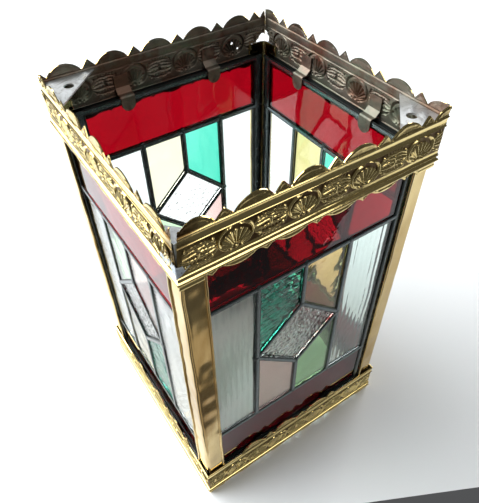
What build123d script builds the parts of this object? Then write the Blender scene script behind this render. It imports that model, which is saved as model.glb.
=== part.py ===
from build123d import *
import math
import os

# Square lantern body: four leaded-glass panels between brass corner posts, wrapped by embossed
# brass bands at the top and the bottom. It is open above and below. Millimetres, +Z up, and the
# origin is on the floor at the middle of the square.
#
# Every side is drawn as the front, which faces -Y, and turned about Z to its place. On a side, u
# runs to the right for someone outside, z is the height above the floor, and depth is the
# distance outwards from the lantern's axis.

# Glass and lead
glass_face = 76.8          # axis to the outer face of the glass
glass_thickness = 3.0
glass_play = 0.15          # glass face to the came's leaf
edge_play = 0.25           # glass edge to the came's heart
came_leaf = 0.65           # thickness of the leaves that cover the glass
came_width = 3.8           # leaf width of the inner cames
came_heart = 1.2
border_width = 6.5         # leaf width of the border came
border_web = 1.5
came_buried = 0.4          # how far a diamond strip runs past its corner, to meet the next one

# Panels
panel_bottom = 25.0
panel_height = 221.0
corner_play = 0.5          # edge of a panel to the inside of the one that it meets
column_half = 31.5         # middle of the diamond to the upright cames
diamond_half_height = 30.0

# Lead lines of a panel: height of its lower and of its upper ruby strip, and how far the diamond
# sits above the middle of the field between them. One panel was put in upside down, and its
# lines were cut to their own heights.
upright = {"lower": 48.6, "upper": 39.6, "rise": 2.4, "inverted": False}
upside_down = {"lower": 32.7, "upper": 46.4, "rise": 8.0, "inverted": True}

# Where each panel stands along u, and how far its columns are from its own middle
panels = {
    "front": {"offset": -2.5, "columns": -1.7, **upright},
    "right": {"offset": 1.0, "columns": 0.9, **upright},
    "back": {"offset": -2.5, "columns": -2.0, **upright},
    "left": {"offset": 0.0, "columns": 0.2, **upside_down},
}

# Corner posts
post_play = 0.05           # border came to post flange
post_sheet = 0.75
post_flange = 13.0
post_ridge_radius = 2.0
post_hem_radius = 0.85
post_foot_below = 5.0      # panel's bottom edge down to the post's foot
post_top_above = 6.0       # panel's top edge up to the post's top

# Bands
band_height = 37.5
crest_above = 28.0         # panel's top edge up to the top of the upper bands
band_sheet = 0.6
band_play = 0.05           # post hem to the inside of the band
mitre_gap = 0.1
crest_height = 5.9         # upper edge: arches, with points between them
lip_height = 4.0           # lower edge: the same, shallower
scallop_pitch = 30.3
arch_width = 21.0
point_width = 9.3
point_share = 0.88         # a point's height, as a share of its arch's
lip_lag = 7.7              # points of the lower edge, along u from those of the upper edge
plain_corner = 14.0        # length of the lower lip left straight at each corner
post_clearance = 22.0      # length of crest cut off where a bottom band passes a post

# Where the point nearest to the middle of each side comes, along u
crest_phase = {"front": 5.0, "right": -1.3, "back": -10.3, "left": -11.0}

# Cross-section of the bands, from the lower tips up: height, and how far the sheet is pressed
# out there
lip_roll = 3.8
lip_roll_out = 1.2
frieze_bottom = 10.7
frieze_top = 25.5
bead_height = 0.8
bead_out = 0.6

# Gussets, tongues and solder
gusset_leg = 32.0
gusset_sheet = 1.0
gusset_play = 0.1
gusset_hole_radius = 3.0
gusset_hole_inset = 11.9   # hole centre to the gusset's two square edges
gusset_below_crest = 7.5
tongue_sheet = 0.8
tongue_width = 9.5
tongue_spacing = 64.0
tongue_play = 0.3
tongue_root = 8.0          # length soldered to the band
tongue_step = 3.4          # drop from the root to the bridge over the panel
tongue_drop = 10.0         # length that hangs inside the panel
tongue_bend_radius = 1.2
solder_leg = 2.5
solder_run = 12.0          # length of the fillet at each gusset
solder_gap = 1.0           # fillet under a post to the post
solder_pad_width = 6.0
solder_pad_height = 4.0
solder_pad_inset = 2.5     # pad to the corner ridge

# Places that follow from the sizes above
came_face = glass_face + glass_play + came_leaf
came_back = glass_face - glass_thickness - glass_play - came_leaf
largest_offset = max(abs(panel["offset"]) for panel in panels.values())
panel_half = came_back - corner_play - largest_offset
panel_top = panel_bottom + panel_height
post_bottom = panel_bottom - post_foot_below
post_top = panel_top + post_top_above
overall_height = panel_top + crest_above
post_inside = came_face + post_play
post_face = post_inside + post_sheet
band_inside = post_inside + 2 * post_hem_radius + band_play
band_face = band_inside + band_sheet
band_outside = band_face + lip_roll_out
top_band_bottom = overall_height - band_height
gusset_top = overall_height - gusset_below_crest
gusset_tops = {  # the first has been pushed down onto its post, and the far corner has lost its own
    "front_left": post_top + gusset_sheet,
    "front_right": gusset_top,
    "back_left": gusset_top,
}
turns = {"front": 0, "right": 90, "back": 180, "left": 270}


def turned(shape, side):
    """Turn a shape drawn on the front to its own side."""
    return Rot(Z=turns[side]) * shape


def plate(outline, near, far):
    """Prism of an outline drawn in (u, z), from one depth to another."""
    return extrude(Plane.XZ.offset(near) * outline, far - near)


def outline_of(points):
    """Flat face round a list of points."""
    return make_face(Polyline(*points, close=True))


def rectangle(left, right, low, high):
    """Upright rectangle between two u values and two heights."""
    return Pos((left + right) / 2, (low + high) / 2) * Rectangle(right - left, high - low)


def strip(start, end, width, overrun=0.0):
    """Flat strip along a line, run past both of its ends by the overrun."""
    run, climb = end[0] - start[0], end[1] - start[1]
    length = math.hypot(run, climb) + 2 * overrun
    middle = Pos((start[0] + end[0]) / 2, (start[1] + end[1]) / 2)
    return middle * Rot(Z=math.degrees(math.atan2(climb, run))) * Rectangle(length, width)


def trimmed(outline, placed):
    """What is left of an outline outside the leaves that are already placed."""
    for leaf in placed:
        outline = outline - leaf
    return outline


def came(leaf, heart):
    """Lead strip: an outer and an inner leaf, joined by the heart between the glass edges."""
    outer = plate(leaf, glass_face + glass_play, came_face)
    inner = plate(leaf, came_back, came_back + came_leaf)
    core = plate(heart, came_back + came_leaf, glass_face + glass_play)
    return outer + core + inner


def lead_lines(lines):
    """Heights and corners that the lead of one panel follows."""
    lower = panel_bottom + lines["lower"]
    upper = panel_top - lines["upper"]
    waist = (lower + upper) / 2 + lines["rise"]
    middle = lines["columns"]
    return {
        "lower": lower,
        "upper": upper,
        "head": (middle, waist + diamond_half_height),
        "foot": (middle, waist - diamond_half_height),
        "west": (middle - column_half, waist),
        "east": (middle + column_half, waist),
    }


def panel_cames(lines):
    """The fourteen lead strips of one panel, each butted against the ones laid before it."""
    at = lead_lines(lines)
    inner_half = panel_half - border_width
    web_half = panel_half - border_web
    cames, placed = [], []

    def lay(leaf, heart):
        cames.append(came(trimmed(leaf, placed), trimmed(heart, placed)))
        placed.append(leaf)

    for left, right, web_left, web_right in (
        (-panel_half, -inner_half, -panel_half, -web_half),
        (inner_half, panel_half, web_half, panel_half),
    ):
        lay(rectangle(left, right, panel_bottom, panel_top),
            rectangle(web_left, web_right, panel_bottom, panel_top))
    for low, high, web_low, web_high in (
        (panel_bottom, panel_bottom + border_width, panel_bottom, panel_bottom + border_web),
        (panel_top - border_width, panel_top, panel_top - border_web, panel_top),
    ):
        lay(rectangle(-panel_half, panel_half, low, high),
            rectangle(-panel_half, panel_half, web_low, web_high))

    runs = [((-panel_half, at[name]), (panel_half, at[name]), 0.0) for name in ("lower", "upper")]
    for side in ("west", "east"):
        runs.append(((at[side][0], at["lower"]), (at[side][0], at["upper"]), 0.0))
    corners = [at["west"], at["head"], at["east"], at["foot"]]
    runs += [(corners[i], corners[(i + 1) % 4], came_buried) for i in range(4)]
    for end, tip in (("upper", "head"), ("lower", "foot")):
        runs.append(((at[tip][0], at[end]), at[tip], 0.0))
    for start, end, overrun in runs:
        lay(strip(start, end, came_width, overrun), strip(start, end, came_heart, overrun))
    return cames


def panel_glass(lines):
    """The nine pieces of glass of one panel, by name."""
    at = lead_lines(lines)
    # Border cells reach half a heart into the web, because every cell is then cut back alike.
    side = panel_half - border_web + came_heart / 2
    low = panel_bottom + border_web - came_heart / 2
    high = panel_top - border_web + came_heart / 2
    lower, upper = at["lower"], at["upper"]
    head, foot, west, east = at["head"], at["foot"], at["west"], at["east"]
    quarters = ["teal", "yellow", "pink", "green"]
    if lines["inverted"]:
        quarters.reverse()
    cells = {
        "upper_ruby": [(-side, upper), (side, upper), (side, high), (-side, high)],
        "lower_ruby": [(-side, low), (side, low), (side, lower), (-side, lower)],
        "left_clear": [(-side, lower), (west[0], lower), (west[0], upper), (-side, upper)],
        "right_clear": [(east[0], lower), (side, lower), (side, upper), (east[0], upper)],
        quarters[0]: [west, head, (head[0], upper), (west[0], upper)],
        quarters[1]: [head, east, (east[0], upper), (head[0], upper)],
        quarters[2]: [(west[0], lower), (foot[0], lower), foot, west],
        quarters[3]: [(foot[0], lower), (east[0], lower), east, foot],
        "diamond": [west, foot, east, head],
    }
    cut_back = came_heart / 2 + edge_play
    return {
        name: plate(
            offset(outline_of(points), amount=-cut_back, kind=Kind.INTERSECTION),
            glass_face - glass_thickness,
            glass_face,
        )
        for name, points in cells.items()
    }


def post():
    """Folded corner post at the near left corner, with a rolled hem along each flange."""
    start = -post_face
    angle = Pos(start, start) * Rectangle(post_flange, post_flange, align=Align.MIN)
    hollow = Pos(-post_inside, -post_inside) * Rectangle(post_flange, post_flange, align=Align.MIN)
    section = angle - hollow
    ridge = section.vertices().sort_by_distance((start, start, 0))
    section = fillet(ridge[0], post_ridge_radius)
    fold = section.vertices().sort_by_distance((-post_inside, -post_inside, 0))
    section = fillet(fold[0], post_ridge_radius - post_sheet)
    hem_depth = -post_inside - post_hem_radius
    hem_end = start + post_flange - post_hem_radius
    for place in (Pos(hem_end, hem_depth), Pos(hem_depth, hem_end)):
        section += place * Circle(post_hem_radius)
    return Pos(0, 0, post_bottom) * extrude(section, post_top - post_bottom)


def band_section():
    """Pressed cross-section of a band, as an outline in (depth, height)."""
    crest_start = band_height - crest_height
    pressed = [
        (0.0, 0.0),
        (lip_roll, 0.0),
        (lip_roll + 0.5, lip_roll_out),
        (lip_roll + 1.7, lip_roll_out),
        (lip_roll + 2.3, 0.0),
        (lip_roll + 3.4, 0.0),
        (lip_roll + 3.7, bead_out),
        (lip_roll + 4.7, bead_out),
        (lip_roll + 5.0, 0.2),
        (frieze_bottom - 0.2, 0.2),
        (frieze_bottom, 0.0),
        (frieze_top, 0.0),
        (frieze_top + 0.2, bead_out),
        (frieze_top + bead_height, bead_out),
        (frieze_top + bead_height + 0.2, 0.1),
        (crest_start - bead_height, 0.1),
        (crest_start - bead_height + 0.2, bead_out),
        (crest_start - 0.1, bead_out),
        (crest_start + 0.1, 0.0),
        (band_height, 0.0),
    ]
    outer = [(-band_face - out, height) for height, out in pressed]
    inner = [(-band_inside - out, height) for height, out in reversed(pressed)]
    return outline_of(outer + inner)


def scallops(base, height, upward, phase, reach):
    """Arches and points along an edge, for the stretch within reach of the middle."""
    way = 1 if upward else -1
    radius = (height**2 + (arch_width / 2) ** 2) / (2 * height)
    count = math.ceil(band_outside / scallop_pitch) + 1
    row = []
    for n in range(-count, count + 1):
        point_at = phase + n * scallop_pitch
        arch_at = point_at + scallop_pitch / 2
        if abs(arch_at) + arch_width / 2 < reach:
            row.append(Pos(arch_at, base + way * (height - radius)) * Circle(radius))
        if abs(point_at) + point_width / 2 < reach:
            row.append(outline_of([
                (point_at - point_width / 2, base),
                (point_at, base + way * height * point_share),
                (point_at + point_width / 2, base),
                (point_at, base - way * height),
            ]))
    return row


def band(bottom, phase, crest_reach):
    """Embossed band of the front side, scalloped along both edges and mitred at both ends."""
    long_way = 2 * band_outside + scallop_pitch
    profile = extrude(Plane.YZ * band_section(), long_way / 2, both=True)
    crest_start = band_height - crest_height
    sheet = rectangle(-long_way / 2, long_way / 2, lip_height, crest_start)
    for shape in scallops(crest_start, crest_height, True, phase, crest_reach):
        sheet += shape
    for shape in scallops(lip_height, lip_height, False, phase - lip_lag, long_way):
        sheet += shape
    plain_from = band_outside - plain_corner
    for left, right in ((-long_way / 2, -plain_from), (plain_from, long_way / 2)):
        sheet += rectangle(left, right, 0.0, lip_height + 0.1)
    near, far = band_inside - 1.0, band_outside + 1.0
    body = profile & plate(sheet, near, far)
    mitre = outline_of([
        (mitre_gap - far, -far),
        (far - mitre_gap, -far),
        (near - mitre_gap, -near),
        (mitre_gap - near, -near),
    ])
    return Pos(0, 0, bottom) * (body & extrude(mitre, band_height))


def gusset(top):
    """Tinned triangle inside the near left top corner, with a hole for a hanger."""
    corner = gusset_play - band_inside
    hole = corner + gusset_hole_inset
    outline = outline_of([(corner, corner), (corner + gusset_leg, corner),
                          (corner, corner + gusset_leg)])
    outline -= Pos(hole, hole) * Circle(gusset_hole_radius)
    return Pos(0, 0, top - gusset_sheet) * extrude(outline, gusset_sheet)


def tongue():
    """Bent strip from the inside of a top band, over a panel's top edge and down inside it."""
    root = band_inside - tongue_sheet / 2
    hang = came_back - tongue_play - tongue_sheet / 2
    bridge = panel_top + tongue_play + tongue_sheet / 2
    path = FilletPolyline(
        (-root, bridge + tongue_step + tongue_root),
        (-root, bridge + tongue_step),
        (tongue_step - root, bridge),
        (-hang, bridge),
        (-hang, bridge - tongue_drop),
        radius=tongue_bend_radius,
    )
    bent = extrude(Plane.YZ * trace(path, tongue_sheet), tongue_width / 2, both=True)
    tip = bridge - tongue_drop + tongue_width / 2
    blank = rectangle(-tongue_width / 2, tongue_width / 2, tip, top_band_bottom + band_height)
    blank += Pos(0, tip) * Circle(tongue_width / 2)
    return bent & plate(blank, came_back - 2 * tongue_sheet, band_inside)


def lower_tongue():
    """The same strip upside down, from a bottom band and under the panel."""
    middle = panel_bottom + panel_height / 2
    return mirror(tongue(), about=Plane.XY.offset(middle))


def corner_solder(top=None):
    """Fillets inside the near left corner: under the post, and at any gusset with this top."""
    corner = -band_inside
    outline = outline_of([(corner, corner), (corner + solder_leg, corner),
                          (corner, corner + solder_leg)])
    stretches = [(frieze_bottom, post_bottom - solder_gap)]
    if top:
        seated = top - gusset_sheet - solder_run < post_top
        start = top if seated else top - gusset_sheet - solder_run
        stretches.append((start, start + solder_run))
    return [Pos(0, 0, low) * extrude(outline, high - low) for low, high in stretches]


def post_solder():
    """Pads between the near left post and the two bands that wrap it, above and below."""
    start = solder_pad_inset - post_face
    pads = []
    for low in (post_top - solder_pad_height, post_bottom):
        pad = plate(
            rectangle(start, start + solder_pad_width, low, low + solder_pad_height),
            post_face,
            band_inside,
        )
        pads += [pad, mirror(pad, about=Plane((0, 0, 0), x_dir=(0, 0, 1), z_dir=(1, -1, 0)))]
    return pads


def save(name, solids):
    """Write one node: a single solid, or a group of separate ones."""
    shape = solids[0] if len(solids) == 1 else Compound(children=list(solids))
    export_step(shape, f"parts/{name}.step")


def build():
    os.makedirs("parts", exist_ok=True)
    for side, lines in panels.items():
        place = Pos(lines["offset"], 0, 0)
        for name, glass in panel_glass(lines).items():
            save(f"{side}_{name}", [turned(place * glass, side)])
        save(f"{side}_cames", [turned(place * lead, side) for lead in panel_cames(lines)])

        phase = crest_phase[side]
        save(f"{side}_top_band", [turned(band(top_band_bottom, phase, 2 * band_outside), side)])
        bottom = band(0.0, phase, band_outside - post_clearance)
        save(f"{side}_bottom_band", [turned(bottom, side)])

    corners = {"front_left": "front", "front_right": "right", "back_right": "back",
               "back_left": "left"}
    joints = []
    for corner, side in corners.items():
        top = gusset_tops.get(corner)
        save(f"{corner}_post", [turned(post(), side)])
        if top:
            save(f"{corner}_gusset", [turned(gusset(top), side)])
        joints += [turned(joint, side) for joint in corner_solder(top) + post_solder()]
    save("solder_joints", joints)

    spots = (-tongue_spacing / 2, tongue_spacing / 2)
    places = [(side, Pos(u, 0, 0)) for side in turns for u in spots]
    save("upper_tongues", [turned(place * tongue(), side) for side, place in places])
    save("lower_tongues", [turned(place * lower_tongue(), side) for side, place in places])


build()
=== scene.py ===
import math
import bpy
import numpy as np
from mathutils import Matrix, Vector


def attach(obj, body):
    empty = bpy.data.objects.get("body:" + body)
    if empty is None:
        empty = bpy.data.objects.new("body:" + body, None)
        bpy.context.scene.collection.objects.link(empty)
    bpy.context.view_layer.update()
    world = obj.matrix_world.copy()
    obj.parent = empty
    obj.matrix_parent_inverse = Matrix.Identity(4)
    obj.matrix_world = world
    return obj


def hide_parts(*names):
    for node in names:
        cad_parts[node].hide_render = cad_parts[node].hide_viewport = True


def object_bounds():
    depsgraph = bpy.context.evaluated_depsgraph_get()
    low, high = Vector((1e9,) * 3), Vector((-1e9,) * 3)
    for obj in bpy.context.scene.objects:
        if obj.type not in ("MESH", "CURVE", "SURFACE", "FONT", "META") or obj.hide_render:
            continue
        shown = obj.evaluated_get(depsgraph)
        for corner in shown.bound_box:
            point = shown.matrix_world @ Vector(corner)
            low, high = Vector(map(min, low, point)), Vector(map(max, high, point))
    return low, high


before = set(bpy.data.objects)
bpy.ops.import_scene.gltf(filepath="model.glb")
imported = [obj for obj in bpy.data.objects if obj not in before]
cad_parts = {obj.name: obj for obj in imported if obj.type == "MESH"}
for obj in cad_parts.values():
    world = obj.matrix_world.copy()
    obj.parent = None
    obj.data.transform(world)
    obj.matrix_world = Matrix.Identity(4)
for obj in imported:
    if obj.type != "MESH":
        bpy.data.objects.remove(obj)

# Looks of a square leaded-glass lantern body. Every side is made as the front, which faces -Y, and
# turned about Z to its place. On a side, u runs to the right for someone outside, z is the height,
# and depth is the distance outwards from the lantern's axis. Lengths here are millimetres, and
# meshes are written in metres.

cad_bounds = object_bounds()
MM = 0.001
turns = {"front": 0, "right": 90, "back": 180, "left": 270}
corners = {"front_left": "front", "front_right": "right", "back_right": "back", "back_left": "left"}

# Bands: heights above the lowest tips of the lip, as pressed
lip_top = 4.0
roll_low = 3.8
roll_high = 6.1
double_bead = (7.1, 8.9)
frieze_low = 10.7
frieze_high = 25.5
frieze_bead = 26.3
crest_bead = 31.0
crest_base = 31.6
band_sheet = 0.6
column_step = 0.36
fan_pitch = 37.6
fan_places = {"front": -12.5, "right": -15.0, "back": -14.5, "left": -8.0}
lower_fan_places = {"front": -18.0, "right": -15.0, "back": -14.5, "left": -8.0}

# Posts
post_sheet = 0.75
post_ridge = 2.0
post_hem = 0.85
post_swell = 0.5           # how far its flanges bulge outwards between the hems
post_rings = 156

# Lead
leaf_edge = 0.3            # leaf thickness at its edges, and at its crown
leaf_gap = 0.15
inner_leaf = 3.8           # level leaves, then upright and slanting ones
upright_leaf = 3.4
slanting_leaf = 3.2
top_bar = 4.0              # rounded leaf along the top, inside
border_leaf = 6.5
heart = 1.2

# Joints of the lead
joint_radius = 2.6
joint_lift = 0.12          # how far the solder stands out past the crown of a leaf

# Glass: distance between vertices, and the surface of panes that say nothing else
glass_step = 1.0
textured_step = 0.6
glass_shine = 0.02
fine_grain = (150, 150, 150)
fine_reach = 0.00008


# ---------------------------------------------------------------- numbers over a surface

def ease(low, high, x):
    """0 below low and 1 above high, smooth between them."""
    t = np.clip((x - low) / (high - low), 0.0, 1.0)
    return t * t * (3 - 2 * t)


def bump(distance, reach):
    """1 at no distance, falling smoothly to 0 at the reach."""
    return np.clip(1 - (distance / reach) ** 2, 0.0, 1.0) ** 1.5


def ripple(x, y, seed):
    """Smooth noise from 0 to 1 with features about one unit across."""
    table = np.random.RandomState(seed).rand(64, 64)
    i, j = np.floor(x).astype(int), np.floor(y).astype(int)
    s, t = x - i, y - j
    s, t = s * s * (3 - 2 * s), t * t * (3 - 2 * t)
    a, b = table[i % 64, j % 64], table[(i + 1) % 64, j % 64]
    c, d = table[i % 64, (j + 1) % 64], table[(i + 1) % 64, (j + 1) % 64]
    return (a * (1 - s) + b * s) * (1 - t) + (c * (1 - s) + d * s) * t


# ---------------------------------------------------------------- meshes

def side_turn(side):
    """Turn about Z that takes the front to this side."""
    return Matrix.Rotation(math.radians(turns[side]), 4, "Z")


def measured(node, side):
    """A CAD node's vertices as the front would have them: u, depth and height in millimetres."""
    points = np.array([side_turn(side).inverted() @ v.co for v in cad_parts[node].data.vertices])
    return points * (1 / MM) * np.array([1, -1, 1])


def piece(name, points, faces, materials, side="front", picks=None, relief=None, sharp=40.0):
    """A mesh piece from (u, depth, z) points in millimetres, turned to its side."""
    points = np.asarray(points, float) * np.array([1, -1, 1]) * MM
    mesh = bpy.data.meshes.new(name)
    mesh.from_pydata(points.tolist(), [], [tuple(int(i) for i in f) for f in faces])
    mesh.transform(side_turn(side))
    for material in materials:
        mesh.materials.append(material)
    if picks is not None:
        mesh.polygons.foreach_set("material_index", np.asarray(picks, np.int32))
    if relief is not None:
        height = mesh.attributes.new("relief", "FLOAT", "POINT")
        height.data.foreach_set("value", np.asarray(relief, np.float32))
    mesh.polygons.foreach_set("use_smooth", [True] * len(mesh.polygons))
    mesh.set_sharp_from_angle(angle=math.radians(sharp))
    mesh.update()
    made = bpy.data.objects.new(name, mesh)
    bpy.context.scene.collection.objects.link(made)
    return made


def install(made, slot, *nodes):
    """Fix a piece to the lantern and let it stand for these CAD nodes."""
    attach(made, "root")
    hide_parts(*nodes)


def shell_faces(keep):
    """Faces of a sheet between two like grids of vertices, of which these cells are kept."""
    rows, columns = keep.shape[0] + 1, keep.shape[1] + 1
    back = rows * columns
    index = np.arange(back).reshape(rows, columns)
    a, b, c, d = index[:-1, :-1], index[:-1, 1:], index[1:, 1:], index[1:, :-1]
    front = np.stack([a, b, c, d], -1)[keep]
    beside = np.pad(keep, 1)
    edges = ((a, b, beside[:-2, 1:-1]), (b, c, beside[1:-1, 2:]),
             (c, d, beside[2:, 1:-1]), (d, a, beside[1:-1, :-2]))
    rims = [np.stack([q, p, p + back, q + back], -1)[keep & ~kept] for p, q, kept in edges]
    return front, front[:, ::-1] + back, np.concatenate(rims)


class Lump:
    """Points and faces gathered from several closed forms into one piece."""

    def __init__(self):
        self.points, self.faces, self.picks, self.relief, self.count = [], [], [], [], 0

    def add(self, points, faces, pick=0, relief=None):
        self.points.append(np.asarray(points, float))
        self.relief.append(np.zeros(len(points)) if relief is None else relief)
        self.faces += [tuple(int(i) + self.count for i in f) for f in faces]
        self.picks += [pick] * len(faces)
        self.count += len(points)

    def piece(self, name, materials, side="front", sharp=40.0):
        return piece(name, np.concatenate(self.points), self.faces, materials, side, self.picks,
                     np.concatenate(self.relief), sharp)


def tube(rings):
    """Faces of a closed form lofted through rings of points, capped at both ends."""
    count, around = len(rings), len(rings[0])
    points = np.concatenate([np.asarray(r, float) for r in rings])
    faces = []
    for i in range(count - 1):
        for k in range(around):
            m = (k + 1) % around
            faces.append((i * around + k, i * around + m, (i + 1) * around + m, (i + 1) * around + k))
    faces.append(tuple(range(around - 1, -1, -1)))
    faces.append(tuple(range((count - 1) * around, count * around)))
    return points, faces


# ---------------------------------------------------------------- shader values

class Wire:
    """An output of a material's node tree. Arithmetic on it adds Math nodes."""

    def __init__(self, tree, socket=None):
        self.tree, self.socket = tree, socket

    def node(self, kind, sockets=(), output=0, stops=None, **settings):
        """Add a node: its settings first, then the values or links of its sockets."""
        made = self.tree.nodes.new("ShaderNode" + kind)
        for name, value in settings.items():
            setattr(made, name, value)
        if stops:
            ramp = made.color_ramp
            while len(ramp.elements) < len(stops):
                ramp.elements.new(0.5)
            for element, (place, level) in zip(ramp.elements, stops):
                element.position = place
                element.color = (level, level, level, 1)
        pairs = sockets.items() if isinstance(sockets, dict) else enumerate(sockets)
        for key, value in pairs:
            if isinstance(value, Wire):
                self.tree.links.new(value.socket, made.inputs[key])
            else:
                made.inputs[key].default_value = value
        return Wire(self.tree, made.outputs[output])

    def maths(self, operation, *values):
        return self.node("Math", values, operation=operation)

    def __add__(self, other):
        return self.maths("ADD", self, other)

    def __sub__(self, other):
        return self.maths("SUBTRACT", self, other)

    def __rsub__(self, other):
        return self.maths("SUBTRACT", other, self)

    def __mul__(self, other):
        return self.maths("MULTIPLY", self, other)

    __radd__ = __add__
    __rmul__ = __mul__

    def between(self, low, high):
        """0 where this is below low and 1 where it is above high, smooth between them."""
        return self.node("MapRange", (self, low, high, 0.0, 1.0), interpolation_type="SMOOTHSTEP")


class Finish:
    """A material with one Principled shader, and the values that vary over it."""

    def __init__(self, name, **fixed):
        self.material = bpy.data.materials.new(name)
        self.material.use_nodes = True
        tree = self.material.node_tree
        self.shader = tree.nodes["Principled BSDF"]
        self.output = tree.nodes["Material Output"]
        self.wire = Wire(tree)
        for socket, value in fixed.items():
            self.shader.inputs[socket.replace("_", " ")].default_value = value
        self.place = self.wire.node("TexCoord", output="Object")
        self.relief = self.wire.node("Attribute", attribute_name="relief", output="Fac")

    def stretched(self, scale, turn=(0.0, 0.0, 0.0)):
        """Place on the object, turned and scaled, for noise that runs one way."""
        return self.wire.node("Mapping", {"Vector": self.place, "Rotation": turn, "Scale": scale})

    def noise(self, scale, detail=3.0, rough=0.55, place=None, warp=0.0):
        """Noise from 0 to 1, with this many features to the metre."""
        sockets = {"Vector": place or self.place, "Scale": scale, "Detail": detail,
                   "Roughness": rough, "Distortion": warp}
        return self.wire.node("TexNoise", sockets, output="Fac")

    def mixed(self, amount, first, second):
        """From the first colour to the second, as the amount goes from 0 to 1."""
        tones = [c if isinstance(c, Wire) else (*c, 1.0) for c in (first, second)]
        return self.wire.node("Mix", {0: amount, 6: tones[0], 7: tones[1]}, output=2,
                              data_type="RGBA", clamp_factor=True)

    def feed(self, socket, value):
        """Let a varying value drive one socket of the shader."""
        self.wire.tree.links.new(value.socket, self.shader.inputs[socket])

    def bumped(self, height, reach, strength=1.0):
        """Raise the surface by this height, times a reach in metres."""
        self.feed("Normal", self.wire.node(
            "Bump", {"Height": height, "Distance": reach, "Strength": strength}, output="Normal"))

    def passes_lamps(self, tint):
        """Let rays from the lamps through, tinted, so that what is behind the glass is lit."""
        tree = self.wire.tree
        clear = self.wire.node("BsdfTransparent", ((*tint, 1.0),))
        shadow = self.wire.node("LightPath", output="Is Shadow Ray")
        both = self.wire.node("MixShader", (shadow, Wire(tree, self.shader.outputs[0]), clear))
        tree.links.new(both.socket, self.output.inputs["Surface"])


# ---------------------------------------------------------------- metal finishes

def rubbed_brass(name, bright, hollow_tarnish_and_shade, shine, dullness):
    """Pressed brass: rubbed bright on the relief; in the hollows dull, and darkened by brown tarnish and by
    painted shade.
    """
    finish = Finish(name, Metallic=1.0)
    stain = finish.noise(38, 4, 0.62, warp=0.6)
    # The fine noise is partly grime and partly painted shade: it breaks up the relief mask so that thin dark
    # creases are painted in.
    crease_shade_and_grime = finish.noise(420, 5, 0.65)
    raised = (finish.relief + (crease_shade_and_grime - 0.5) * 0.3).between(0.12, 0.5)
    aged = (stain - 0.2 * raised).between(0.42, 0.68)
    # The hollow colour is brown tarnish, darkened further as painted shade in the hollows and creases of the
    # relief.
    tone = finish.mixed(raised, hollow_tarnish_and_shade, bright)
    tone = finish.mixed(aged * 0.55, tone, tuple(0.55 * b + 0.25 * h for b, h in zip(bright, hollow_tarnish_and_shade)))
    spot = finish.noise(900, 2).between(0.66, 0.74) * stain.between(0.5, 0.6)
    tone = finish.mixed(spot * 0.6, tone, (0.10, 0.06, 0.03))
    finish.feed("Base Color", tone)
    finish.feed("Roughness", dullness - (dullness - shine) * raised + 0.14 * aged + 0.06 * crease_shade_and_grime)
    finish.bumped(finish.noise(260, 3) + 0.3 * finish.noise(1600, 2), 0.00008, 0.4)
    return finish.material


def patina(name, tone, light, verdigris, rust):
    """The unpolished inner face: brown-grey patina with green and reddish bloom."""
    finish = Finish(name, Metallic=0.72)
    cloud = finish.noise(55, 5, 0.65, warp=0.8)
    fine = finish.noise(700, 4, 0.6)
    worn = (finish.relief + (fine - 0.5) * 0.4).between(0.45, 0.95)
    dark, pale = tuple(0.55 * t for t in tone), tuple(1.6 * t for t in tone)
    colour = finish.mixed(cloud.between(0.36, 0.62), dark, pale)
    colour = finish.mixed(worn * 0.55, colour, light)
    level = finish.stretched((1.0, 1.0, 2.2))
    green = finish.noise(34, 4, 0.6, place=level).between(0.46, 0.62)
    colour = finish.mixed(green * 0.6, colour, verdigris)
    slanted = finish.stretched((1.3, 1.3, 1.0), (0.4, 0.2, 0.9))
    red = finish.noise(31, 4, 0.6, place=slanted).between(0.47, 0.62)
    colour = finish.mixed(red * 0.7, colour, rust)
    finish.feed("Base Color", colour)
    finish.feed("Roughness", 0.36 + 0.25 * cloud - 0.1 * worn)
    finish.bumped(fine + 0.6 * cloud, 0.00025, 0.8)
    return finish.material


def folded_brass():
    """Smooth lacquered sheet, with soft brown stains and fine scratches along its length."""
    finish = Finish("post_brass", Metallic=1.0)
    stain = finish.noise(18, 4, 0.6, place=finish.stretched((1.0, 1.0, 0.35)), warp=0.4)
    brushed = finish.noise(1500, 2, place=finish.stretched((1.0, 1.0, 0.02)))
    speck = finish.noise(650, 3).between(0.68, 0.76)
    tone = finish.mixed(stain.between(0.42, 0.7), (0.86, 0.67, 0.32), (0.50, 0.32, 0.11))
    finish.feed("Base Color", finish.mixed(speck * 0.5, tone, (0.12, 0.07, 0.03)))
    finish.feed("Roughness", 0.05 + 0.10 * stain + 0.04 * brushed + 0.2 * speck)
    finish.bumped(brushed + finish.noise(60, 2) * 1.5, 0.00003, 0.4)
    return finish.material


def lead_finish(name, dark, bright, shine):
    """Oxidised lead, dark at the edges of the leaf and light along the crown: partly blacking rubbed off the
    crown, partly painted shade at the edges and a painted highlight along the crown.
    """
    finish = Finish(name, Metallic=0.85)
    cloud = finish.noise(120, 4, 0.6)
    fine = finish.noise(1100, 3)
    # The crown mask lightens the top of each leaf: rubbed wear together with a painted highlight.
    crown = (finish.relief + (cloud - 0.5) * 0.5).between(0.35, 0.95)
    finish.feed("Base Color", finish.mixed(crown, dark, bright))
    finish.feed("Roughness", shine + 0.22 * cloud - 0.08 * crown)
    finish.bumped(cloud + 0.4 * fine, 0.00018, 0.7)
    return finish.material


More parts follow.
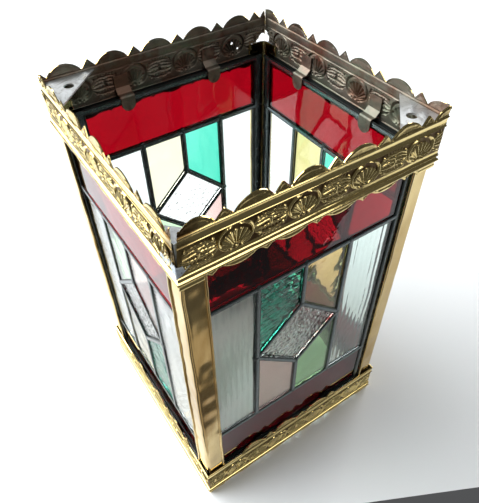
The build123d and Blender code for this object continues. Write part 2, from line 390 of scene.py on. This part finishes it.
def tin_finish(name, light, stain, shine):
    """Dull tinned sheet with flux stains, smeared solder and small pits."""
    finish = Finish(name, Metallic=0.8)
    cloud = finish.noise(90, 5, 0.65, warp=1.2)
    pit = finish.noise(800, 3).between(0.62, 0.74)
    tone = finish.mixed(cloud.between(0.45, 0.72), light, stain)
    finish.feed("Base Color", finish.mixed(pit * 0.7, tone, tuple(0.5 * s for s in stain)))
    finish.feed("Roughness", shine + 0.3 * cloud)
    finish.bumped(cloud * 1.5 + finish.noise(500, 3) * 0.4, 0.0003, 0.8)
    return finish.material


# ---------------------------------------------------------------- glass finishes

def glass_finish(name, tint, streak, shadow_tint, grain, reach):
    """Cathedral glass: tinted through and through, in slow streaks, with seeds and fine grain."""
    finish = Finish(name, Transmission_Weight=1.0, IOR=1.52, Metallic=0.0)
    slow = finish.noise(22, 3, 0.5, place=finish.stretched((1.0, 1.0, 0.3), (0.5, 0.4, 0.0)), warp=0.7)
    seed = finish.noise(330, 2).between(0.72, 0.78)
    colour = finish.mixed(slow.between(0.35, 0.7), tint, streak)
    finish.feed("Base Color", finish.mixed(seed * 0.25, colour, tuple(0.6 * t for t in tint)))
    finish.feed("Roughness", glass_shine + 0.5 * glass_shine * slow)
    fine = finish.noise(1.0, 2, 0.5, place=finish.stretched(grain, (0.4, 0.4, 0.0)))
    finish.bumped(fine + seed * 0.3, reach, 0.5)
    finish.passes_lamps(shadow_tint)
    return finish.material


# ---------------------------------------------------------------- glass shapes

def hammered(u, z):
    """Strong slanting hammer marks."""
    s, t = 0.82 * u + 0.57 * z, -0.57 * u + 0.82 * z
    return 0.65 * ripple(s / 2.6, t / 8.5, 3) + 0.35 * ripple(s / 1.5 + 9, t / 4.0, 4)


def waved(u, z):
    """Long slow swells, as in drawn sheet."""
    return 0.7 * ripple(u / 11, z / 15, 5) + 0.3 * ripple(u / 5 + 3, z / 6, 6)


def reeded(u, z):
    """Soft upright reeds with a slow wander."""
    wander = 2.5 * ripple(u / 30, z / 28, 7)
    return 0.5 + 0.28 * np.sin(2 * math.pi * (u + wander) / 4.4) + 0.3 * (ripple(u / 6, z / 9, 8) - 0.5)


def ribbed(u, z):
    """Fine level ribs crossed by slanting waves."""
    lean = 0.25 * u + 1.6 * ripple(u / 9, z / 22, 9)
    return 0.5 + 0.24 * np.sin(2 * math.pi * (z + lean) / 3.4) + 0.35 * (ripple(u / 5, z / 11, 10) - 0.5)


def lined(u, z):
    """Fine slanting lines."""
    return 0.5 + 0.25 * np.sin(2 * math.pi * (0.8 * u + 0.6 * z) / 2.1) * ripple(u / 7, z / 7, 11)


def crackled(u, z):
    """Small lumps with sharp valleys, like cracked ice."""
    low = np.full(np.shape(u), 9.0)
    centres = np.random.RandomState(12).uniform(-1.4, 1.4, (24, 24, 2))
    i, j = np.floor(u / 3.4).astype(int), np.floor(z / 3.4).astype(int)
    for a in (-1, 0, 1):
        for b in (-1, 0, 1):
            shift = centres[(i + a) % 24, (j + b) % 24]
            du, dz = u - 3.4 * (i + a + 0.5) - shift[..., 0], z - 3.4 * (j + b + 0.5) - shift[..., 1]
            low = np.minimum(low, np.hypot(du, dz))
    return 1 - low / 4.0


glasses = {
    "ruby": {"tint": (0.27, 0.0010, 0.006), "streak": (0.36, 0.002, 0.009), "shadow": (0.12, 0.008, 0.012),
             "shape": waved, "depth": 0.10, "slot": "ruby_glass"},
    # The next ruby is a darker copy of the ruby: painted shade, for glass with little light behind it.
    "shade_painted_ruby": {"tint": (0.10, 0.001, 0.005), "streak": (0.16, 0.002, 0.008),
                  "shadow": (0.06, 0.004, 0.008), "shape": waved, "depth": 0.10, "slot": "ruby_glass"},
    "clear": {"tint": (0.84, 0.93, 0.90), "streak": (0.94, 0.98, 0.96), "shadow": (0.34, 0.38, 0.37),
              "shape": reeded, "depth": 0.30, "slot": "clear_glass"},
    "teal": {"tint": (0.07, 0.66, 0.46), "streak": (0.20, 0.86, 0.66), "shadow": (0.06, 0.30, 0.24),
             "shape": hammered, "depth": 0.75, "slot": "teal_glass",
             "grain": (130, 130, 420), "reach": 0.0012},
    "calm_teal": {"tint": (0.07, 0.66, 0.46), "streak": (0.20, 0.86, 0.66), "shadow": (0.06, 0.30, 0.24),
                  "shape": waved, "depth": 0.20, "slot": "teal_glass"},
    "yellow": {"tint": (0.74, 0.70, 0.26), "streak": (0.84, 0.80, 0.42), "shadow": (0.36, 0.34, 0.22),
               "shape": waved, "depth": 0.34, "slot": "yellow_glass"},
    "cream": {"tint": (0.86, 0.84, 0.60), "streak": (0.90, 0.88, 0.68), "shadow": (0.38, 0.37, 0.28),
              "shape": waved, "depth": 0.20, "slot": "yellow_glass"},
    "pink": {"tint": (0.80, 0.58, 0.53), "streak": (0.88, 0.70, 0.66), "shadow": (0.32, 0.25, 0.23),
             "shape": lined, "depth": 0.16, "slot": "pink_glass"},
    "green": {"tint": (0.50, 0.84, 0.46), "streak": (0.66, 0.93, 0.62), "shadow": (0.22, 0.34, 0.2),
              "shape": waved, "depth": 0.20, "slot": "green_glass"},
    "diamond": {"tint": (0.90, 0.96, 0.92), "streak": (0.97, 0.99, 0.97), "shadow": (0.34, 0.37, 0.34),
                "shape": crackled, "depth": 0.85, "slot": "diamond_glass",
                "grain": (520, 520, 520), "reach": 0.0006},
}
pane_names = ("upper_ruby", "lower_ruby", "left_clear", "right_clear", "teal", "yellow", "pink", "green",
              "diamond")
# Pieces of glass that differ from the others of their name
unusual_glass = {"back_yellow": "cream", "left_yellow": "cream", "back_teal": "calm_teal",
                 "right_teal": "calm_teal"}
# The lower rubies of the front, right and back take the darker ruby as painted shade.
unusual_glass.update({f"{side}_lower_ruby": "shade_painted_ruby" for side in ("front", "right", "back")})


def glass_corners(points):
    """The four corners of a piece of glass, in order round it, from its (u, z) points."""
    flat = np.unique(np.round(points[:, [0, 2]], 3), axis=0)
    middle = flat.mean(0)
    angles = np.arctan2(flat[:, 1] - middle[1], flat[:, 0] - middle[0])
    return flat[np.argsort(angles)]


def glass_pane(side, name, kind, finish):
    """A pane with its cast texture on the outer face and soft waves on the inner one."""
    node = f"{side}_{name}"
    points = measured(node, side)
    a, b, c, d = glass_corners(points)
    inner, outer = points[:, 1].min(), points[:, 1].max()
    across = max(np.linalg.norm(b - a), np.linalg.norm(c - d))
    along = max(np.linalg.norm(d - a), np.linalg.norm(c - b))
    step = textured_step if kind in ("teal", "diamond", "pink") else glass_step
    s, t = np.meshgrid(np.linspace(0, 1, int(across / step) + 2), np.linspace(0, 1, int(along / step) + 2))
    s, t = s[..., None], t[..., None]
    flat = a * (1 - s) * (1 - t) + b * s * (1 - t) + c * s * t + d * (1 - s) * t
    u, z = flat[..., 0], flat[..., 1]
    look = glasses[kind]
    shape = ribbed if kind == "clear" and side in ("left", "right") else look["shape"]
    seed_shift = 40 * list(turns).index(side) + (17 if name.startswith("right") else 0)
    front = outer - look["depth"] * np.clip(shape(u + seed_shift, z), 0, 1)
    back = inner + 0.08 * ripple(u / 12 + seed_shift, z / 12, 13)
    rows, columns = u.shape
    sheet = np.concatenate([np.stack([u, depth, z], -1).reshape(-1, 3) for depth in (front, back)])
    faces = np.concatenate(shell_faces(np.ones((rows - 1, columns - 1), bool)))
    install(piece(f"{node}_pane", sheet, faces, [finish], side), look["slot"], node)


# ---------------------------------------------------------------- lead

def leaf(start, end, width, near, far, overrun=0.0):
    """Domed lead leaf between two (u, z) points, its flat face near the glass and its crown far."""
    start, end = np.array(start, float), np.array(end, float)
    way = (end - start) / np.linalg.norm(end - start)
    across = np.array([-way[1], way[0]])
    start, end = start - way * overrun, end + way * overrun
    count = max(2, int(np.linalg.norm(end - start) / 6))
    share = np.linspace(-1, 1, 9)
    crown = near + (far - near) * (leaf_edge + (1 - leaf_edge) * np.sqrt(1 - (0.96 * share) ** 2))
    rings = []
    for k in range(count + 1):
        middle = start + (end - start) * k / count
        top = [(*(middle + across * width / 2 * s), c) for s, c in zip(share, crown)]
        base = [(*(middle + across * width / 2), near), (*(middle - across * width / 2), near)]
        rings.append([(p[0], p[2], p[1]) for p in top + base])
    points, faces = tube(rings)
    # The last values say how near each point lies to the crown; the lead finish paints the crown lighter with
    # them, partly as a painted highlight.
    return points, faces, 0, np.tile([*(1 - share**2), 0, 0], count + 1)


def bar(start, end, width, near, far):
    """Plain strip between two (u, z) points and two depths, for the heart of a came."""
    start, end = np.array(start, float), np.array(end, float)
    way = (end - start) / np.linalg.norm(end - start)
    across = np.array([-way[1], way[0]]) * width / 2
    rings = []
    for middle in (start, end):
        low, high = middle - across, middle + across
        rings.append([(low[0], near, low[1]), (high[0], near, high[1]),
                      (high[0], far, high[1]), (low[0], far, low[1])])
    return tube(rings)


def solder_blob(middle, radius, base, top, seed):
    """Low round of solder over a joint of two cames."""
    around, levels = 14, 4
    wobble = 1 + 0.18 * (np.random.RandomState(seed).rand(around) - 0.5)
    rings = []
    for level in range(levels):
        lift = level / (levels - 1)
        reach = radius * math.sqrt(1 - 0.93 * lift)
        rings.append([(middle[0] + reach * w * math.cos(2 * math.pi * k / around),
                       base + (top - base) * lift,
                       middle[1] + reach * w * math.sin(2 * math.pi * k / around))
                      for k, w in enumerate(wobble)])
    return tube(rings)


def panel_lines(side):
    """Where the lead of a panel runs, from the gaps between its pieces of glass."""
    spans = {}
    for name in ("upper_ruby", "lower_ruby", "left_clear", "right_clear", "teal", "yellow", "diamond"):
        points = measured(f"{side}_{name}", side)
        spans[name] = points.min(0), points.max(0)
    columns = sorted((spans["teal"], spans["yellow"]), key=lambda s: s[0][0])
    gap = (columns[1][0][0] - columns[0][1][0]) / 2
    waist = (spans["diamond"][0][2] + spans["diamond"][1][2]) / 2
    west = spans["left_clear"][1][0] + gap
    east = spans["right_clear"][0][0] - gap
    share = (east - west) / (spans["diamond"][1][0] - spans["diamond"][0][0])
    half = (spans["diamond"][1][2] - spans["diamond"][0][2]) / 2 * share
    middle = (west + east) / 2
    lead = measured(f"{side}_cames", side)
    low, high = lead.min(0), lead.max(0)
    return {
        "glass": (spans["teal"][0][1], spans["teal"][1][1]), "depth": (low[1], high[1]),
        "left": low[0], "right": high[0], "bottom": low[2], "top": high[2],
        "lower": spans["lower_ruby"][1][2] + gap, "upper": spans["upper_ruby"][0][2] - gap,
        "west": (west, waist), "east": (east, waist),
        "head": (middle, waist + half), "foot": (middle, waist - half),
    }


def panel_lead(side, finish, solder):
    """The cames of a panel with a domed leaf on each face, and solder at their joints."""
    at = panel_lines(side)
    west, east, head, foot = at["west"], at["east"], at["head"], at["foot"]
    left, right, bottom, top = (at[k] for k in ("left", "right", "bottom", "top"))
    b = border_leaf / 2
    runs = [
        ((left + b, bottom), (left + b, top), border_leaf, 0),
        ((right - b, bottom), (right - b, top), border_leaf, 0),
        ((left, bottom + b), (right, bottom + b), border_leaf, 0),
        ((left, at["lower"]), (right, at["lower"]), inner_leaf, 0),
        ((left, at["upper"]), (right, at["upper"]), inner_leaf, 0),
        ((west[0], at["lower"]), (west[0], at["upper"]), upright_leaf, 0),
        ((east[0], at["lower"]), (east[0], at["upper"]), upright_leaf, 0),
        ((head[0], at["upper"]), head, slanting_leaf, 0),
        ((foot[0], at["lower"]), foot, slanting_leaf, 0),
    ]
    ring = [west, head, east, foot]
    runs += [(ring[i], ring[(i + 1) % 4], slanting_leaf, 0.6) for i in range(4)]
    lump = Lump()
    faces = ((at["glass"][1] + leaf_gap, at["depth"][1]), (at["glass"][0] - leaf_gap, at["depth"][0]))
    for start, end, width, overrun in runs:
        for near, far in faces:
            lump.add(*leaf(start, end, width, near, far, overrun))
        if width != border_leaf:
            lump.add(*bar(start, end, heart, at["glass"][0] - leaf_gap, at["glass"][1] + leaf_gap))
    lump.add(*leaf((left, top - b), (right, top - b), border_leaf, *faces[0]))
    lump.add(*leaf((left, top - top_bar / 2), (right, top - top_bar / 2), top_bar, *faces[1]))
    joints = [west, east, head, foot]
    joints += [(u, at[z]) for u in (west[0], head[0], east[0]) for z in ("lower", "upper")]
    for k, joint in enumerate(joints):
        for near, far in faces:
            lump.add(*solder_blob(joint, joint_radius, near, far + joint_lift * np.sign(far - near), k), 1)
    install(lump.piece(f"{side}_lead", [finish, solder], side, 55), "lead", f"{side}_cames")


# ---------------------------------------------------------------- posts

def post_section():
    """Folded angle with rolled hems, from the first hem round the ridge to the second."""
    points = measured("front_left_post", "front")
    low, high = points.min(0), points.max(0)
    hem_end = high[0] - post_hem
    hem_depth = low[0] + post_hem
    inside = hem_depth + post_hem
    outside = inside - post_sheet
    first = math.asin((outside - hem_depth) / post_hem)
    half = [(hem_end + post_hem * math.cos(a), hem_depth + post_hem * math.sin(a))
            for a in np.linspace(math.pi / 2, -math.pi - first, 14)]
    half += [(u, outside) for u in np.linspace(hem_end - 1.6, outside + post_ridge, 12)]
    centre = outside + post_ridge
    half += [(centre + post_ridge * math.cos(a), centre + post_ridge * math.sin(a))
             for a in np.linspace(-math.pi / 2, -0.75 * math.pi, 5)[1:]]
    outer = half + [(v, u) for u, v in reversed(half[:-1])]
    bend = post_ridge - post_sheet
    inner = [(u, inside) for u in np.linspace(hem_end - 1.0, inside + bend, 8)]
    centre = inside + bend
    inner += [(centre + bend * math.cos(a), centre + bend * math.sin(a))
              for a in np.linspace(-math.pi / 2, -0.75 * math.pi, 4)[1:]]
    inner = inner + [(v, u) for u, v in reversed(inner[:-1])]
    return np.array(outer), np.array(inner[::-1]), (low[2], high[2])


def corner_post(corner, finish):
    """Folded post, its flanges a little rippled along their length."""
    outer, inner, (low, high) = post_section()
    loop = np.concatenate([outer, inner])
    seed = 20 + list(corners).index(corner)
    edge = loop.min()
    flat = [ease(edge + 3.5, edge + 2.2, loop[:, k]) * ease(edge + 1.0, edge + 3.5, loop[:, 1 - k])
            for k in (0, 1)]
    rings = []
    for z in np.linspace(low, high, post_rings):
        level = np.full(len(loop), z / 9)
        swell = [post_swell * ripple(loop[:, 1 - k] / 8 + 20, level, seed + 7 * k) for k in (0, 1)]
        ring = loop - np.stack([swell[k] * flat[k] for k in (0, 1)], 1)
        rings.append([(x, -y, z) for x, y in ring])
    points, faces = tube(rings)
    made = piece(f"{corner}_angle", points, faces, [finish], corners[corner], sharp=50)
    install(made, "folded_brass", f"{corner}_post")


# ---------------------------------------------------------------- embossed bands

# Where a top band has pulled away from its mitre: the end, then height, reach and width of the gap.
# A gap that reaches further than long_gap widens all the way up to that height.
long_gap = 20
open_mitres = {
    "front": [(-1, (37.0, 27.0, 2.4))],
    "left": [(1, (37.0, 27.0, 1.6))],
    "back": [(-1, (37.0, 7.0, 0.9))],
}
# How far out along the diagonal the solder torn from the near corner lies
corner_reach = 114.4
# Holes worn through at the far corner: place along u, height and radius
worn_holes = {
    "back": [(-51.5, 19.5, 0.9), (-56.0, 15.0, 0.7), (-68.5, 14.6, 0.8), (-73.8, 15.8, 1.6),
             (-77.4, 17.2, 3.3)],
    "right": [(78.6, 17.4, 3.3), (79.5, 20.6, 2.0), (74.4, 23.0, 0.4)],
}


def knob(u, y, at_u, at_y, radius):
    """Small scroll end: a round with a groove in it."""
    distance = np.hypot(u - at_u, y - at_y)
    return bump(distance, radius) - 0.55 * bump(np.abs(distance - 0.55 * radius), 0.3 * radius)


def fan_relief(u, y):
    """Pressed fan in a pointed ring, with flowing leaves to the next one, from 0 to 1."""
    across = np.abs(u)
    span = np.hypot(across, y + 5.8)
    angle = np.degrees(np.arctan2(across, y + 5.8))
    rim = 10.6 - 2.2 * (angle / 80) ** 2
    ribs = 0.5 + 0.5 * np.cos(np.radians(angle) * 2 * math.pi / math.radians(18.0))
    fan = (0.25 + 0.75 * ribs) * ease(1.0, 2.6, span) * ease(rim, rim - 1.0, span) * ease(86, 78, angle)
    peak = 0.9 * bump(across, 2.4) * ease(3, 6, y)
    ring_at = np.hypot(across / 8.9, (y - 0.2) / 7.1)
    ring = bump(np.abs(ring_at - 1 - 0.10 * peak) * 8, 1.0) * ease(-6.3, -4.6, y + 0.12 * across)
    ties = knob(across, y, 3.0, -6.2, 1.7) + bump(np.hypot(across, y + 5.6), 1.4)
    # Leaves start at the ring and open towards the middle of the gap.
    run = (across - 8.6) / (fan_pitch / 2 - 8.6)
    spread = 0.25 + 0.75 * np.sin(math.pi / 2 * np.clip(run, 0, 1))
    leaves = np.zeros(np.shape(u))
    for k in (-2, -1, 0, 1, 2):
        line = k * 2.9 * spread + 1.1 * np.sin(2.4 * run + k) * np.clip(run, 0, 1)
        leaves = np.maximum(leaves, bump(np.abs(y - line), 0.95) * (1.0 - 0.12 * abs(k)))
    leaves = leaves * ease(0.02, 0.2, run)
    hatch = 0.35 * (0.5 + 0.5 * np.sin(across * 3.1 + np.abs(y) * 1.3)) * ease(0.25, 0.5, run)
    scroll = knob(across, y, 11.6, 4.6, 2.0) + knob(across, y, 12.2, -4.4, 2.2)
    bud = bump(np.hypot((across - fan_pitch / 2) / 0.9, y / 2.6) * 1.6, 2.6)
    inside = ease(1.02, 0.96, ring_at)
    field = fan * inside + np.maximum(leaves, hatch) * (1 - inside)
    relief = np.maximum.reduce([field * 0.85, ring, ties, scroll * (1 - inside), bud])
    return np.clip(relief, 0, 1)


def band_relief(u, h, edge_gap, fan_at, height, half):
    """How far a band's outer face stands out from its flat sheet, in millimetres."""
    along = (u - fan_at + fan_pitch / 2) % fan_pitch - fan_pitch / 2
    middle = (frieze_low + frieze_high) / 2
    fans = fan_relief(along, h - middle)
    fans = fans * ease(frieze_low, frieze_low + 0.7, h) * ease(frieze_high, frieze_high - 0.7, h)
    fans = fans * ease(half, half - 2.5, np.abs(u))
    roll = bump(np.abs(h - (roll_low + roll_high) / 2), (roll_high - roll_low) / 2 + 0.2)
    bead_middle = sum(double_bead) / 2
    pair = bump(np.abs(np.abs(h - bead_middle) - 0.45), 0.45)
    beads = np.maximum(bump(np.abs(h - (frieze_high + frieze_bead) / 2), 0.55),
                       bump(np.abs(h - (crest_bead + crest_base) / 2), 0.5))
    in_cove = (h > frieze_bead) & (h < crest_bead)
    cove = 0.25 * in_cove * ease(2.2, 0.0, np.minimum(h - frieze_bead, crest_bead - h))
    hem = 0.4 * bump(np.abs(edge_gap - 1.1), 0.6)
    return np.maximum.reduce([roll * height, pair * 0.62 * height, beads * 0.6 * height,
                              fans * 0.92 * height, cove, hem])


def band_outline(node, side, columns):
    """Height of a band's lower and upper edge at each of these columns."""
    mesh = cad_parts[node].data
    points = measured(node, side)
    low, high = np.full(len(columns), 1e9), np.full(len(columns), -1e9)
    for edge in mesh.edges:
        p, q = points[edge.vertices[0]], points[edge.vertices[1]]
        if p[0] > q[0]:
            p, q = q, p
        first, last = np.searchsorted(columns, (p[0], q[0]))
        if first == last:
            continue
        share = (columns[first:last] - p[0]) / (q[0] - p[0])
        z = p[2] + share * (q[2] - p[2])
        low[first:last] = np.minimum(low[first:last], z)
        high[first:last] = np.maximum(high[first:last], z)
    return low, high


def band_rows():
    """Heights of the rows of a band between its lip and its crest, closer together on the beads."""
    stretches = ((lip_top, 9.2, 0.3), (9.2, frieze_low, 0.5), (frieze_low, frieze_high, 0.3),
                 (frieze_high, frieze_bead, 0.2), (frieze_bead, crest_bead, 0.8),
                 (crest_bead, crest_base, 0.15))
    rows = [np.arange(low, high - 0.05, step) for low, high, step in stretches]
    return np.concatenate(rows + [[crest_base]])


def embossed_band(side, level, finishes, openings=(), holes=()):
    """Pressed band with its fans, beads and scalloped edges, and the same relief sunk on its back."""
    node = f"{side}_{level}_band"
    points = measured(node, side)
    low, high = points.min(0), points.max(0)
    height = high[1] - (low[1] + band_sheet)
    face = high[1] - height
    half = face - 0.1
    columns = np.linspace(-half, half, int(2 * half / column_step) + 1)
    bottom, top = band_outline(node, side, np.clip(columns, -half + 0.8, half - 0.8))
    foot = low[2]
    bottom, top = np.minimum(bottom - foot, lip_top - 0.03), np.maximum(top - foot, crest_base + 0.03)
    lip = [bottom + (lip_top - bottom) * t for t in (0.0, 0.14, 0.3, 0.5, 0.75)]
    crest = [crest_base + (top - crest_base) * t for t in (0.12, 0.28, 0.45, 0.62, 0.78, 0.9, 1.0)]
    h = np.stack(lip + [np.full(len(columns), row) for row in band_rows()] + crest)
    u = np.broadcast_to(columns, h.shape)
    edge_gap = np.where(h > crest_base, top - h, np.where(h < lip_top, h - bottom, 9.0))
    places = fan_places if level == "top" else lower_fan_places
    out = band_relief(u, h, edge_gap, places[side], height, half)
    seed = 31 + list(turns).index(side) + (4 if level == "top" else 0)
    lean = (ripple(u / 17 + 9, h * 0, seed) - 0.5) * 1.6 * ease(crest_base, crest_base + 6, h)
    dent = 0.22 * ripple(u / 9 + 9, h / 9, seed + 11) * ease(2, 5, h) * ease(36, 30, h)
    out = np.minimum(out + dent + np.minimum(lean, 0.3) - 0.05, height - 0.02)
    share = columns / half
    shift = np.zeros(h.shape)
    for end, (centre, reach, width) in openings:
        opened = ease(centre - reach, centre, h) if reach > long_gap else bump(np.abs(h - centre), reach)
        shift -= end * ease(half - 14, half, end * u) * width * opened
    layers = []
    for depth in (face + out, face + out - band_sheet):
        layers.append(np.stack([share * (depth - 0.1) + shift, depth, h + foot], -1).reshape(-1, 3))
    keep = np.ones((h.shape[0] - 1, h.shape[1] - 1), bool)
    for hole_u, hole_h, radius in holes:
        keep &= np.hypot(u[1:, 1:] - hole_u, h[1:, 1:] - hole_h) > radius
    outer, inner, rim = shell_faces(keep)
    picks = np.concatenate([np.zeros(len(outer)), np.ones(len(inner)), np.zeros(len(rim))])
    relief = np.clip(out / height, 0, 1)
    in_frieze = (h > frieze_low + 0.2) & (h < frieze_high - 0.2)
    # Outside the frieze the colour mask takes set levels: the crest is held darker, and the cove darker at
    # its edges and lighter in its middle. This is painted shade and a painted highlight laid over the tarnish
    # of the hollows.
    cove = bump(np.abs(h - (frieze_bead + crest_bead) / 2), 2.6)
    plain = np.where(h > crest_base, 0.34, np.where(h > frieze_bead, 0.3 + 0.5 * cove, 0.5))
    shown = np.where(in_frieze, relief, np.maximum(relief, plain))
    for end, (_, reach, _) in openings:
        tarnish = ease(half - 16, half - 2, end * u) * ease(12, 20, h) * (reach > long_gap)
        shown = shown * (1 - 0.6 * tarnish)
    made = piece(f"{node}_pressing", np.concatenate(layers), np.concatenate([outer, inner, rim]),
                 finishes, side, picks, np.concatenate([shown.ravel(), 1 - relief.ravel()]), 60)
    install(made, "embossed_brass", node)


# ---------------------------------------------------------------- solder

def torn_strip(start, end, half_width, seed):
    """Torn tongue of solder folded round the near corner, from one (across, z) to another."""
    s, t = np.meshgrid(np.linspace(0, 1, 45), np.linspace(-1, 1, 17), indexing="ij")
    along = np.subtract(end, start)
    aside = np.array([-along[1], along[0]]) / np.hypot(*along)
    width = half_width * (0.65 + 0.4 * s + 0.5 * (ripple(s * 9 + 5, s * 0, seed) - 0.5))
    across = start[0] + along[0] * s + aside[0] * t * width
    z = start[1] + along[1] * s + aside[1] * t * width
    folds = ripple(t * 2 + 5, s * 5, seed + 1) - 0.5
    creases = ripple(t * 5 + 5, s * 12, seed + 2) - 0.5
    crumple = 0.5 * folds + 0.3 * creases
    out = np.minimum(corner_reach - np.hypot(across, 0.7) + crumple, corner_reach + 0.3 - np.abs(across))
    layers = []
    for back in (0.0, 0.5):
        inner = out - back
        layers.append(np.stack([across - inner, across + inner, z * 2 ** 0.5], -1).reshape(-1, 3) / 2 ** 0.5)
    return np.concatenate(layers), np.concatenate(shell_faces(np.ones((44, 16), bool)))


def solder(finish):
    """Solder of every corner, and two tongues of it that have torn free at the near one."""
    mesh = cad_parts["solder_joints"].data
    lump = Lump()
    points = np.array([v.co for v in mesh.vertices]) * (1 / MM) * np.array([1, -1, 1])
    lump.add(points, [p.vertices for p in mesh.polygons])
    lump.add(*torn_strip((-4.4, 253.8), (2.0, 247.6), 3.3, 61))
    lump.add(*torn_strip((-10.0, 250.8), (-5.4, 248.4), 2.2, 71))
    install(lump.piece("solder", [finish]), "solder", "solder_joints")


# ---------------------------------------------------------------- making

# Camera in metres and degrees, and the table's front edge in metres
camera_place = (-0.13676, -0.21752, 0.40999)
camera_azimuth = 32.67
camera_drop = 45.48          # how far it looks down
camera_roll = -1.38
camera_lens = 37.11
table_edge = -0.112          # how far forward the table reaches at table_edge_at
table_edge_at = -0.066
table_slope = -0.5


def look_through_camera():
    """Camera above the near left corner, looking down into the lantern."""
    azimuth, drop, roll = (math.radians(a) for a in (camera_azimuth, camera_drop, camera_roll))
    ahead = Vector((math.sin(azimuth) * math.cos(drop), math.cos(azimuth) * math.cos(drop), -math.sin(drop)))
    level = Vector((math.cos(azimuth), -math.sin(azimuth), 0.0))
    above = level.cross(ahead)
    right = level * math.cos(roll) + above * math.sin(roll)
    up = right.cross(ahead)
    camera = bpy.data.objects.new("camera", bpy.data.cameras.new("camera"))
    camera.data.lens = camera_lens
    camera.data.sensor_width = 36.0
    camera.data.clip_start = 0.01
    camera.matrix_world = Matrix.Translation(camera_place) @ Matrix((right, up, -ahead)).transposed().to_4x4()
    bpy.context.scene.collection.objects.link(camera)
    bpy.context.scene.camera = camera


def lay_floor():
    """Pale table whose front edge passes close before the lantern."""
    height = cad_bounds[0][2]
    front = [(x, table_edge + table_slope * (x - table_edge_at), height) for x in (-0.9, 1.3)]
    mesh = bpy.data.meshes.new("floor")
    mesh.from_pydata(front + [(1.9, 2.4, height), (-1.2, 2.4, height)], [], [(0, 1, 2, 3)])
    floor = bpy.data.objects.new("floor", mesh)
    finish = Finish("floor_paint", Roughness=0.55)
    finish.feed("Base Color", finish.mixed(finish.noise(6, 2), (0.84, 0.87, 0.88), (0.88, 0.90, 0.91)))
    mesh.materials.append(finish.material)
    bpy.context.scene.collection.objects.link(floor)


def soft_light(name, place, target, size, power, tint=(1, 1, 1)):
    """Rectangular lamp that faces its target."""
    lamp = bpy.data.lights.new(name, "AREA")
    lamp.shape = "RECTANGLE"
    lamp.size, lamp.size_y = size
    lamp.energy = power
    lamp.color = tint
    made = bpy.data.objects.new(name, lamp)
    made.location = place
    made.rotation_euler = (Vector(target) - Vector(place)).to_track_quat("-Z", "Y").to_euler()
    bpy.context.scene.collection.objects.link(made)


def set_lights():
    """Window light from behind, a softer one from the side, and low strips that glint in the brass."""
    world = bpy.data.worlds.new("studio")
    world.use_nodes = True
    back = world.node_tree.nodes["Background"]
    back.inputs["Color"].default_value = (0.95, 0.97, 1.0, 1)
    back.inputs["Strength"].default_value = 0.09
    bpy.context.scene.world = world
    soft_light("window", (-0.85, 0.9, 1.2), (0, 0, 0.1), (1.9, 1.4), 62, (0.96, 0.98, 1.0))
    soft_light("side", (1.4, 0.4, 0.6), (0, 0, 0.15), (0.9, 0.9), 15)
    soft_light("glint", (0.25, -0.75, 1.0), (0, 0, 0.2), (0.7, 0.5), 2.8)
    for name, ahead, depth, power in (("sill", -0.19, 0.07, 0.16), ("low_front", -0.32, 0.06, 0.16)):
        soft_light(name, (0.1, ahead, -0.2), (0.1, ahead, 0.4), (1.4, depth), power, (1.0, 0.97, 0.90))


def build():
    """Make the room, the finishes and then every piece of the lantern."""
    look_through_camera()
    lay_floor()
    set_lights()
    bpy.context.scene.view_settings.view_transform = "Standard"

    # The second colour is the hollow colour: tarnish and painted shade together.
    outside = rubbed_brass("polished_relief", (0.90, 0.70, 0.29), (0.12, 0.065, 0.02), 0.08, 0.34)
    inside = patina("dark_patina", (0.105, 0.085, 0.062), (0.36, 0.33, 0.27), (0.16, 0.19, 0.13),
                    (0.15, 0.065, 0.035))
    # The lead's second colour is its light crown: partly rubbed lead, partly painted highlight.
    lead = lead_finish("blacked_lead", (0.04, 0.048, 0.046), (0.17, 0.20, 0.205), 0.22)
    bright_solder = tin_finish("bright_solder", (0.80, 0.87, 0.93), (0.46, 0.50, 0.53), 0.42)
    came_solder = lead_finish("came_solder", (0.09, 0.11, 0.11), (0.24, 0.27, 0.27), 0.26)
    tin = tin_finish("tinned_sheet", (0.66, 0.68, 0.68), (0.30, 0.29, 0.27), 0.30)
    strap = patina("tongue_patina", (0.17, 0.13, 0.10), (0.34, 0.28, 0.22), (0.14, 0.17, 0.13),
                   (0.22, 0.10, 0.06))
    post = folded_brass()

    panes = {kind: glass_finish(f"{kind}_glass", look["tint"], look["streak"], look["shadow"],
                                look.get("grain", fine_grain), look.get("reach", fine_reach))
             for kind, look in glasses.items()}
    for side in turns:
        for name in pane_names:
            kind = unusual_glass.get(f"{side}_{name}", name.split("_")[-1])
            glass_pane(side, name, kind, panes[kind])
        panel_lead(side, lead, came_solder)
        gaps, holes = open_mitres.get(side, ()), worn_holes.get(side, ())
        embossed_band(side, "top", [outside, inside], gaps, holes)
        embossed_band(side, "bottom", [outside, inside])
    for corner in corners:
        corner_post(corner, post)
    solder(bright_solder)
    gussets = [(name, tin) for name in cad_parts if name.endswith("_gusset")]
    for name, finish in [("upper_tongues", strap), ("lower_tongues", strap), *gussets]:
        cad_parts[name].data.materials.clear()
        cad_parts[name].data.materials.append(finish)


build()
